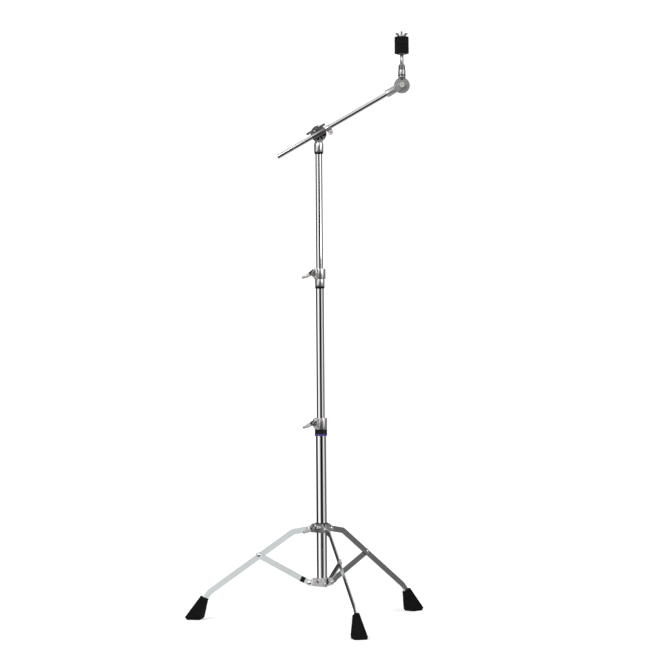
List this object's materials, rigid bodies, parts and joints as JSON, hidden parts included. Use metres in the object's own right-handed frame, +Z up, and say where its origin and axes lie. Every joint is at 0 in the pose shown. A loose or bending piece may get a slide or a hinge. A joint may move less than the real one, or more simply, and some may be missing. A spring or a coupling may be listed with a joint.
{
  "type": "cymbal boom stand",
  "caption": "Folding tripod cymbal stand with telescoping tubes, a tilting and sliding boom, and an adjustable cymbal seat with felts and a wing nut.",
  "frame": {"origin": "on the floor, under the axis of the upright tubes", "axes": "+Z up along the tubes, +X the way the boom rises, -Y the side on which the boom passes the tubes"},
  "size_m": [0.6748, 0.6748, 1.626],
  "materials": {
    "chrome_tube": "polished chrome plating on steel tube",
    "chrome_strap": "chrome plating on flat steel strap, slightly satin",
    "plated_pressing": "chrome plating on pressed steel",
    "chrome_casting": "chrome plating on die casting",
    "dark_casting": "smoked chrome plating on die casting",
    "satin_casting": "satin nickel-chrome on die casting",
    "bright_fastener": "bright plated steel",
    "black_plastic": "black nylon, slight sheen",
    "nylon": "natural nylon",
    "blue_plastic": "violet-blue plastic",
    "black_rubber": "moulded black rubber",
    "black_felt": "pressed black felt"
  },
  "bodies": {
    "base": {"base_tube": "chrome_tube", "bottom_bracket_plates": "plated_pressing", "bracket_screws": "bright_fastener", "bracket_rivets": "bright_fastener", "base_clamp_ring": "blue_plastic", "base_clamp_bushing": "black_plastic", "base_clamp_body": "chrome_casting", "base_clamp_insert": "nylon"},
    "leg_collar": {"leg_collar_plates": "plated_pressing", "leg_collar_rivets": "bright_fastener", "leg_collar_bush": "black_plastic"},
    "leg_collar_bolt": {"leg_collar_wing_bolt": "bright_fastener"},
    "base_clamp_bolt": {"base_clamp_wing_bolt": "bright_fastener"},
    "middle_guide": {"middle_tube_plug": "nylon"},
    "middle": {"middle_tube": "chrome_tube", "upper_clamp_liner": "black_plastic", "upper_clamp_ferrule": "chrome_casting", "upper_clamp_body": "chrome_casting", "upper_clamp_insert": "nylon"},
    "upper_clamp_bolt": {"upper_clamp_wing_bolt": "bright_fastener"},
    "upper_guide": {"upper_tube_plug": "nylon"},
    "upper": {"upper_tube": "chrome_tube", "tilter_lip": "black_plastic", "tilter_socket": "chrome_casting", "tilter_base": "dark_casting"},
    "boom_holder": {"boom_jaw_back": "dark_casting", "boom_jaw_front": "dark_casting", "jaw_screws": "bright_fastener", "tilter_pivot_screw": "bright_fastener", "boom_clamp_washer": "bright_fastener"},
    "boom_clamp_handle": {"boom_clamp_bolt": "bright_fastener"},
    "boom_guide": {"boom_end_plug": "black_plastic"},
    "boom_arm": {"boom": "chrome_tube", "cymbal_tilter_arm": "chrome_casting", "cymbal_tilter_bolt": "bright_fastener"},
    "stop_clamp": {"memory_clamp_band": "plated_pressing", "memory_clamp_block": "black_plastic"},
    "stop_clamp_screw": {"memory_clamp_screw": "bright_fastener"},
    "cymbal_head": {"cymbal_tilter_disc": "satin_casting", "rod_holder_ring": "black_plastic", "rod_holder": "chrome_casting", "cymbal_rod": "bright_fastener", "seat_washer": "bright_fastener", "cymbal_sleeve": "nylon", "lower_felt": "black_felt"},
    "cymbal_tilter_nut": {"cymbal_tilter_wing_nut": "bright_fastener"},
    "top_felt": {"upper_felt": "black_felt"},
    "top_nut": {"cymbal_wing_nut": "bright_fastener"},
    "brace_1": {"brace_1": "chrome_strap"},
    "leg_1": {"leg_1": "chrome_strap", "leg_rivet_1": "bright_fastener", "rubber_foot_1": "black_rubber"},
    "brace_2": {"brace_2": "chrome_strap"},
    "leg_2": {"leg_2": "chrome_strap", "leg_rivet_2": "bright_fastener", "rubber_foot_2": "black_rubber"},
    "brace_3": {"brace_3": "chrome_strap"},
    "leg_3": {"leg_3": "chrome_strap", "leg_rivet_3": "bright_fastener", "rubber_foot_3": "black_rubber"}
  },
  "joints": [
    {"name": "leg_spread", "type": "hinge", "parent": "base", "child": "brace_1", "pos_m": [-0.03477, 0.00932, 0.1085], "axis": [-0.2588, -0.9659, 0], "range_deg": [-54, 20]},
    {"name": "leg_1_fold", "type": "hinge", "parent": "brace_1", "child": "leg_1", "pos_m": [-0.17483, 0.04685, 0.183], "axis": [-0.2588, -0.9659, 0], "range_deg": [-40, 108]},
    {"name": "brace_2_fold", "type": "hinge", "parent": "base", "child": "brace_2", "pos_m": [0.00932, -0.03477, 0.1085], "axis": [0.9659, 0.2588, 0], "range_deg": [-54, 20]},
    {"name": "leg_2_fold", "type": "hinge", "parent": "brace_2", "child": "leg_2", "pos_m": [0.04685, -0.17483, 0.183], "axis": [0.9659, 0.2588, 0], "range_deg": [-40, 108]},
    {"name": "brace_3_fold", "type": "hinge", "parent": "base", "child": "brace_3", "pos_m": [0.02546, 0.02546, 0.1085], "axis": [-0.7071, 0.7071, 0], "range_deg": [-54, 20]},
    {"name": "leg_3_fold", "type": "hinge", "parent": "brace_3", "child": "leg_3", "pos_m": [0.12799, 0.12799, 0.183], "axis": [-0.7071, 0.7071, 0], "range_deg": [-40, 108]},
    {"name": "leg_collar_level", "type": "hinge", "parent": "leg_1", "child": "leg_collar", "pos_m": [-0.03477, 0.00932, 0.2575], "axis": [-0.2588, -0.9659, 0], "range_deg": [-54, 20]},
    {"name": "leg_collar_bolt_turn", "type": "hinge", "parent": "leg_collar", "child": "leg_collar_bolt", "pos_m": [-0.02121, -0.02121, 0.2608], "axis": [-0.7071, -0.7071, 0], "range_deg": [0, 450]},
    {"name": "base_clamp_bolt_turn", "type": "hinge", "parent": "base", "child": "base_clamp_bolt", "pos_m": [-0.02121, -0.02121, 0.5495], "axis": [-0.7071, -0.7071, 0], "range_deg": [0, 450]},
    {"name": "lower_height", "type": "slide", "parent": "base", "child": "middle_guide", "axis": [0, 0, 1], "range_m": [-0.275, 0.075]},
    {"name": "lower_turn", "type": "hinge", "parent": "middle_guide", "child": "middle", "pos_m": [0, 0, 0.4], "axis": [0, 0, 1], "continuous": true},
    {"name": "upper_clamp_bolt_turn", "type": "hinge", "parent": "middle", "child": "upper_clamp_bolt", "pos_m": [-0.02121, -0.02121, 0.962], "axis": [-0.7071, -0.7071, 0], "range_deg": [0, 450]},
    {"name": "upper_height", "type": "slide", "parent": "middle", "child": "upper_guide", "axis": [0, 0, 1], "range_m": [-0.305, 0.085]},
    {"name": "upper_turn", "type": "hinge", "parent": "upper_guide", "child": "upper", "pos_m": [0, 0, 0.8], "axis": [0, 0, 1], "continuous": true},
    {"name": "boom_tilt", "type": "hinge", "parent": "upper", "child": "boom_holder", "pos_m": [0, -0.005, 1.347], "axis": [0, -1, 0], "range_deg": [-58, 55]},
    {"name": "boom_clamp_turn", "type": "hinge", "parent": "boom_holder", "child": "boom_clamp_handle", "pos_m": [-0.0079, 0.005, 1.36091], "axis": [0, 1, 0], "range_deg": [0, 450]},
    {"name": "boom_reach", "type": "slide", "parent": "boom_holder", "child": "boom_guide", "axis": [0.8695, 0, 0.4939], "range_m": [0, 0.105]},
    {"name": "boom_roll", "type": "hinge", "parent": "boom_guide", "child": "boom_arm", "pos_m": [0, -0.021, 1.347], "axis": [0.8695, 0, 0.4939], "continuous": true},
    {"name": "stop_clamp_slide", "type": "slide", "parent": "boom_arm", "child": "stop_clamp", "axis": [0.8695, 0, 0.4939], "range_m": [0, 0.165]},
    {"name": "stop_clamp_screw_turn", "type": "hinge", "parent": "stop_clamp", "child": "stop_clamp_screw", "pos_m": [0.03356, -0.021, 1.34927], "axis": [0, -1, 0], "range_deg": [0, 450]},
    {"name": "cymbal_tilt", "type": "hinge", "parent": "boom_arm", "child": "cymbal_head", "pos_m": [0.22998, -0.021, 1.47765], "axis": [0, -1, 0], "range_deg": [-70, 50]},
    {"name": "cymbal_tilter_nut_turn", "type": "hinge", "parent": "boom_arm", "child": "cymbal_tilter_nut", "pos_m": [0.22998, -0.005, 1.47765], "axis": [0, 1, 0], "range_deg": [0, 450]},
    {"name": "top_nut_turn", "type": "hinge", "parent": "top_felt", "child": "top_nut", "pos_m": [0.22998, -0.021, 1.6128], "axis": [0, 0, 1], "range_deg": [0, 1800]},
    {"name": "upper_felt_lift", "type": "slide", "parent": "cymbal_head", "child": "top_felt", "axis": [0, 0, 1], "range_m": [0, 0.005]}
  ],
  "couplings": [
    {"joint": "leg_1_fold", "follows": "leg_spread", "ratio": -2},
    {"joint": "brace_2_fold", "follows": "leg_spread", "ratio": 1},
    {"joint": "leg_2_fold", "follows": "leg_spread", "ratio": -2},
    {"joint": "brace_3_fold", "follows": "leg_spread", "ratio": 1},
    {"joint": "leg_3_fold", "follows": "leg_spread", "ratio": -2},
    {"joint": "leg_collar_level", "follows": "leg_spread", "ratio": 1},
    {"joint": "top_nut_turn", "follows": "upper_felt_lift", "rad_per_m": 6283.2}
  ]
}
